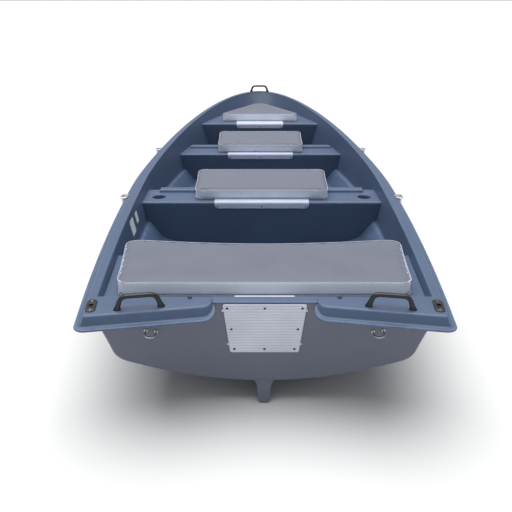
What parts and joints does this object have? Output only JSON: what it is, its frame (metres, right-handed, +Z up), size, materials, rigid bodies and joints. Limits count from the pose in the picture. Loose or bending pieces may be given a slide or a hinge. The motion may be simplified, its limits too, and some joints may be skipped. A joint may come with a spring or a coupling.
{
  "type": "rowing boat",
  "caption": "Open twin-skin moulded rowing boat with fixed benches, padded seats, motor pads on the transom, rowlock sockets and carrying handles",
  "frame": {"origin": "on the centreline, amidships, at the waterline of the empty boat", "axes": "+X to starboard, +Y to the bow, +Z up"},
  "size_m": [1.7266, 4.3998, 0.8196],
  "materials": {
    "hull_grey": "fine-grained moulded polyethylene, slate grey",
    "liner_blue": "fine-grained moulded polyethylene, steel blue",
    "cushion_cloth": "coated marine cloth, mid grey",
    "cushion_band": "coated marine cloth, pale grey-blue",
    "pad_plastic": "ribbed moulded plastic, pale grey",
    "black_plastic": "moulded nylon, black",
    "stainless_steel": "polished stainless steel"
  },
  "bodies": {
    "root": {"hull": "hull_grey", "transom": "hull_grey", "skeg": "hull_grey", "gunwale": "liner_blue", "stern_deck": "liner_blue", "cockpit_liner": "liner_blue", "bow_liner": "liner_blue", "stern_bench": "liner_blue", "aft_thwart": "liner_blue", "fore_thwart": "liner_blue", "bow_seat": "liner_blue", "stern_cushion": "cushion_cloth", "aft_cushion": "cushion_cloth", "fore_cushion": "cushion_cloth", "bow_cushion": "cushion_cloth", "aft_cushion_flap": "cushion_band", "fore_cushion_flap": "cushion_band", "bow_cushion_flap": "cushion_band", "motor_pad_outer": "pad_plastic", "motor_pad_inner": "pad_plastic", "stern_handle_port": "black_plastic", "stern_handle_starboard": "black_plastic", "bow_handle": "black_plastic", "rowlock_socket_aft_port": "stainless_steel", "rowlock_socket_aft_starboard": "stainless_steel", "rowlock_socket_fore_port": "stainless_steel", "rowlock_socket_fore_starboard": "stainless_steel", "rod_socket_port": "black_plastic", "rod_socket_starboard": "black_plastic", "transom_eye_port": "stainless_steel", "transom_eye_starboard": "stainless_steel", "bow_eye": "stainless_steel"}
  },
  "joints": []
}
